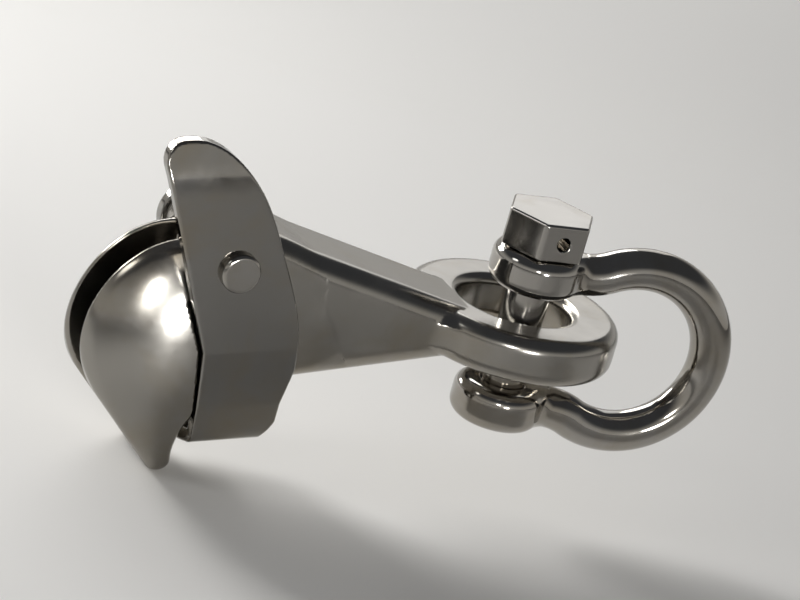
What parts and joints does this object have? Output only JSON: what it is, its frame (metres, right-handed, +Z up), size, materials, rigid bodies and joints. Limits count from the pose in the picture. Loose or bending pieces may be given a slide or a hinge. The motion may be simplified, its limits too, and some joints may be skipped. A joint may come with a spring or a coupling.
{
  "type": "chain hook",
  "caption": "Two-pronged chain hook with a swinging stirrup latch and a bow shackle in its eye, for holding a short-link anchor chain.",
  "frame": {"origin": "centre of the chain wire where it bears in the throat", "axes": "+X from the claw to the eye, +Z up along the eye's axis, +Y away from the side with the thumb tab"},
  "size_m": [0.1677, 0.0544, 0.0869],
  "materials": {
    "cast_steel": "mirror-polished stainless steel casting",
    "plate_steel": "polished stainless steel plate",
    "bar_steel": "polished stainless steel bar",
    "washer_plastic": "plain acetal sheet"
  },
  "bodies": {
    "hook": {"hook_body": "cast_steel", "latch_pivot_pin": "bar_steel", "latch_pivot_collar": "bar_steel", "latch_washer_front": "washer_plastic", "latch_washer_rear": "washer_plastic"},
    "latch": {"latch_strap": "plate_steel"},
    "shackle": {"shackle_bow": "bar_steel"},
    "pin": {"shackle_pin": "bar_steel"}
  },
  "joints": [
    {"name": "latch_pivot", "type": "hinge", "parent": "hook", "child": "latch", "pos_m": [-0.0034, 0, 0.0417], "axis": [0, -1, 0], "range_deg": [0, 24]},
    {"name": "shackle_swing", "type": "hinge", "parent": "hook", "child": "shackle", "pos_m": [0.07834, -0.00868, 0.0292], "axis": [0, 0, 1], "range_deg": [-155, 150]},
    {"name": "shackle_pin_draw", "type": "slide", "parent": "shackle", "child": "pin", "axis": [0, 0, 1], "range_m": [0, 0.047]}
  ]
}
